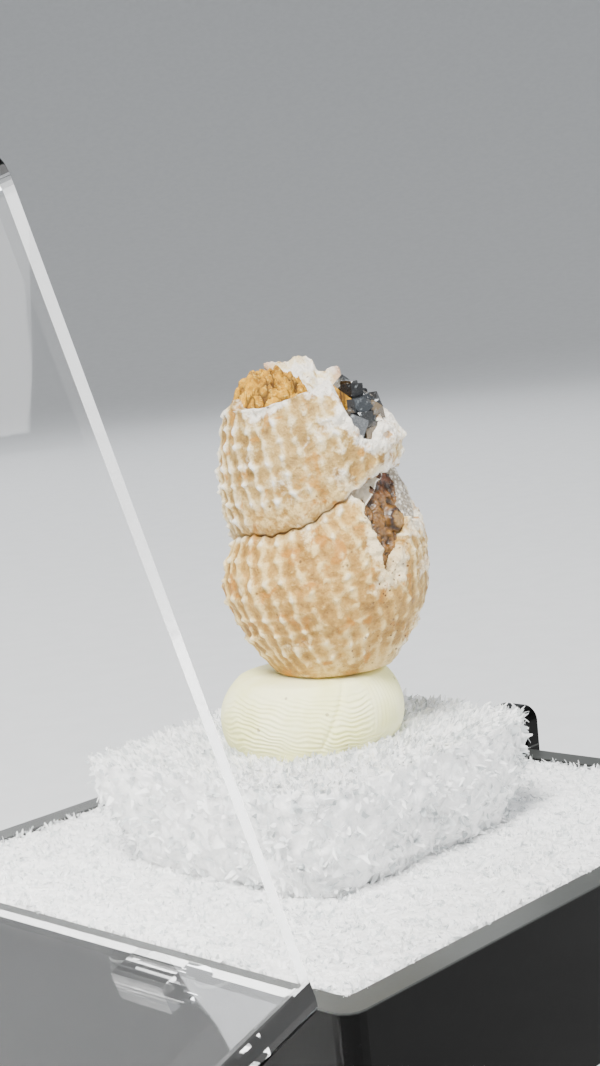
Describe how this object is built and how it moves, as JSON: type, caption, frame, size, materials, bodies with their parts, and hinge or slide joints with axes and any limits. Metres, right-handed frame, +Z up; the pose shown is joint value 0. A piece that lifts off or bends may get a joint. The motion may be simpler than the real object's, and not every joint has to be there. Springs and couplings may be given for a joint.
{
  "type": "land snail shell specimen",
  "caption": "Broken mineral-filled land snail shell, stuck with putty on torn foam in a small black display box with a clear hinged lid.",
  "frame": {"origin": "centre of the box base's underside, on the surface the box stands on", "axes": "+Z up; the lid's hinge runs along the -X side and the latch tongue is on the +X side"},
  "size_m": [0.0697, 0.032, 0.0385],
  "materials": {
    "black_plastic": "glossy black moulded plastic",
    "clear_plastic": "clear moulded polystyrene",
    "fine_foam": "white fine-celled foam",
    "coarse_foam": "white torn polyethylene foam",
    "putty": "waxy pale yellow mineral putty",
    "shell": "worn nodular shell, white and cream over tan",
    "ochre_sediment": "rough ochre sediment",
    "dark_crystal": "black and smoky vitreous crystal",
    "brown_crystal": "brown waxy botryoidal crystal",
    "grey_matrix": "grey-white granular infill"
  },
  "bodies": {
    "base": {"box_base": "black_plastic", "foam_liner": "fine_foam", "foam_block": "coarse_foam", "putty": "putty", "shell": "shell", "ochre_plug": "ochre_sediment", "dark_crystals": "dark_crystal", "brown_crystals": "brown_crystal", "matrix_fill": "grey_matrix"},
    "lid": {"box_lid": "clear_plastic"}
  },
  "joints": [
    {"name": "lid_hinge", "type": "hinge", "parent": "base", "child": "lid", "pos_m": [-0.01675, 0, 0.0074], "axis": [0, -1, 0], "range_deg": [-107.6, 0]}
  ]
}
